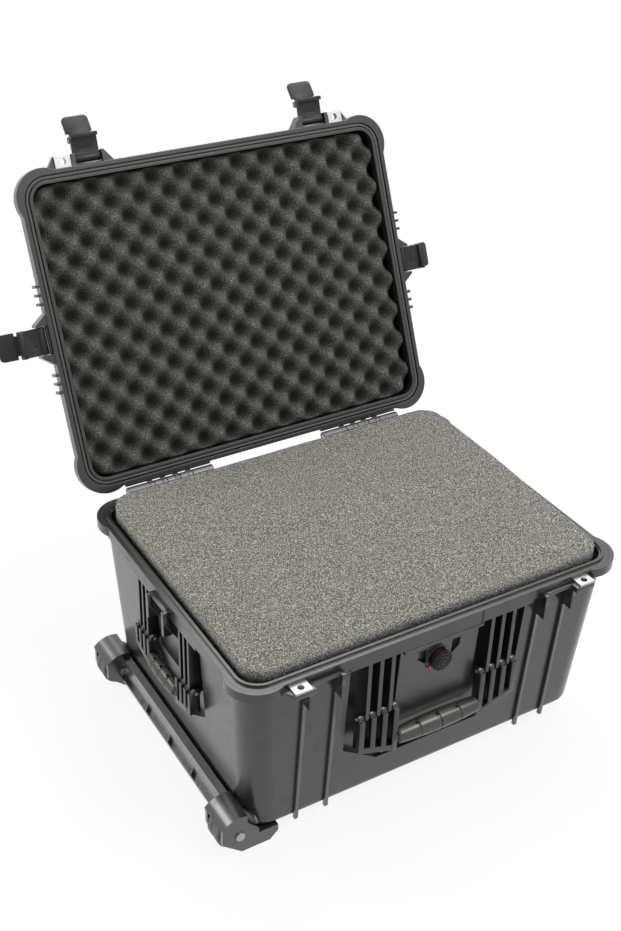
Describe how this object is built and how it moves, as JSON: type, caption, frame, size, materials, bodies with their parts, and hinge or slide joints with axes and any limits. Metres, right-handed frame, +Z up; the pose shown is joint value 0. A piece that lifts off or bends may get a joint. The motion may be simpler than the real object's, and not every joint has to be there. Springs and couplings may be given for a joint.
{
  "type": "wheeled protective case",
  "caption": "Moulded protective case with a hinged foam-lined lid, two-stage latches, fold-down handles, wheels, pressure valve and a pull-out tow handle.",
  "frame": {"origin": "on the ground under the middle of the case, on the middle rest foot", "axes": "+X to the right along the front, towards the tow handle; +Y from the latched front to the hinges; +Z up. At rest the lid stands open at its stop."},
  "size_m": [0.722, 0.7305, 0.7559],
  "materials": {
    "shell": "fine satin texture, injection moulded",
    "moulding": "satin",
    "grip": "soft overmould",
    "steel": "plain",
    "tube": "drawn",
    "seal": "matt",
    "seal_red": "satin",
    "membrane": "vented",
    "foam_base": "open-cell foam",
    "foam_lid": "convoluted foam",
    "wheel": "satin",
    "feet": "matt"
  },
  "bodies": {
    "base": {"base_shell": "shell", "base_rim": "shell", "base_bumpers": "shell", "handle_pan_front": "shell", "handle_pan_left": "shell", "handle_pan_right": "shell", "latch_catch_front_left": "shell", "latch_catch_front_right": "shell", "latch_catch_left": "shell", "latch_catch_right": "shell", "base_padlock_plates": "steel", "hinge_pins": "steel", "handle_pins_front": "steel", "handle_pins_left": "steel", "handle_pins_right": "steel", "valve_cap": "moulding", "valve_body": "moulding", "valve_seal": "seal_red", "valve_nut": "moulding", "valve_membrane": "membrane", "base_foam_pad": "foam_base", "base_foam_lower": "foam_base", "base_foam_middle": "foam_base", "base_foam_upper": "foam_base", "wheel_bracket": "moulding", "floor_screws": "steel", "wheel_axles": "steel", "rest_feet": "feet", "tow_saddles": "moulding", "tow_tubes": "tube"},
    "lid": {"lid_shell": "shell", "lid_gasket": "seal", "lid_foam": "foam_lid", "lid_padlock_plates": "steel", "latch_pins": "steel"},
    "handle_front": {"handle_front": "moulding", "handle_grip_front": "grip"},
    "handle_left": {"handle_left": "moulding", "handle_grip_left": "grip"},
    "handle_right": {"handle_right": "moulding", "handle_grip_right": "grip"},
    "wheel_front": {"wheel_front": "wheel", "wheel_bearings_front": "steel"},
    "wheel_rear": {"wheel_rear": "wheel", "wheel_bearings_rear": "steel"},
    "tow_handle": {"tow_grip": "moulding", "tow_rods": "tube"},
    "latch_front_left": {"latch_frame_front_left": "moulding", "lever_pin_front_left": "steel"},
    "lever_front_left": {"latch_lever_front_left": "moulding"},
    "latch_front_right": {"latch_frame_front_right": "moulding", "lever_pin_front_right": "steel"},
    "lever_front_right": {"latch_lever_front_right": "moulding"},
    "latch_left": {"latch_frame_left": "moulding", "lever_pin_left": "steel"},
    "lever_left": {"latch_lever_left": "moulding"},
    "latch_right": {"latch_frame_right": "moulding", "lever_pin_right": "steel"},
    "lever_right": {"latch_lever_right": "moulding"}
  },
  "joints": [
    {"name": "lid_hinge", "type": "hinge", "parent": "base", "child": "lid", "pos_m": [0, 0.238, 0.282], "axis": [1, 0, 0], "range_deg": [0, 114]},
    {"name": "latch_front_left_hinge", "type": "hinge", "parent": "lid", "child": "latch_front_left", "pos_m": [-0.1815, 0.44318, 0.70841], "axis": [1, 0, 0], "range_deg": [0, 85]},
    {"name": "lever_front_left_hinge", "type": "hinge", "parent": "latch_front_left", "child": "lever_front_left", "pos_m": [-0.1815, 0.46062, 0.7299], "axis": [1, 0, 0], "range_deg": [-60, 15]},
    {"name": "latch_front_right_hinge", "type": "hinge", "parent": "lid", "child": "latch_front_right", "pos_m": [0.1815, 0.44318, 0.70841], "axis": [1, 0, 0], "range_deg": [0, 85]},
    {"name": "lever_front_right_hinge", "type": "hinge", "parent": "latch_front_right", "child": "lever_front_right", "pos_m": [0.1815, 0.46062, 0.7299], "axis": [1, 0, 0], "range_deg": [-60, 15]},
    {"name": "latch_left_hinge", "type": "hinge", "parent": "lid", "child": "latch_left", "pos_m": [-0.3015, 0.34759, 0.49373], "axis": [0, 0.4067, 0.9135], "range_deg": [0, 85]},
    {"name": "lever_left_hinge", "type": "hinge", "parent": "latch_left", "child": "lever_left", "pos_m": [-0.32823, 0.35417, 0.4908], "axis": [0, 0.4067, 0.9135], "range_deg": [-60, 15]},
    {"name": "latch_right_hinge", "type": "hinge", "parent": "lid", "child": "latch_right", "pos_m": [0.3015, 0.34759, 0.49373], "axis": [0, -0.4067, -0.9135], "range_deg": [0, 85]},
    {"name": "lever_right_hinge", "type": "hinge", "parent": "latch_right", "child": "lever_right", "pos_m": [0.32823, 0.35417, 0.4908], "axis": [0, -0.4067, -0.9135], "range_deg": [-60, 15]},
    {"name": "handle_front_hinge", "type": "hinge", "parent": "base", "child": "handle_front", "pos_m": [0, -0.219, 0.17], "axis": [-1, 0, 0], "range_deg": [0, 95]},
    {"name": "handle_left_hinge", "type": "hinge", "parent": "base", "child": "handle_left", "pos_m": [-0.2855, 0, 0.177], "axis": [0, 1, 0], "range_deg": [0, 95]},
    {"name": "handle_right_hinge", "type": "hinge", "parent": "base", "child": "handle_right", "pos_m": [0.2855, 0, 0.177], "axis": [0, -1, 0], "range_deg": [0, 95]},
    {"name": "wheel_front_spin", "type": "hinge", "parent": "base", "child": "wheel_front", "pos_m": [-0.287, -0.1815, 0.03], "axis": [0, 1, 0], "continuous": true},
    {"name": "wheel_rear_spin", "type": "hinge", "parent": "base", "child": "wheel_rear", "pos_m": [-0.287, 0.1815, 0.03], "axis": [0, 1, 0], "continuous": true},
    {"name": "tow_slide", "type": "slide", "parent": "base", "child": "tow_handle", "axis": [1, 0, 0], "range_m": [0, 0.34]}
  ]
}
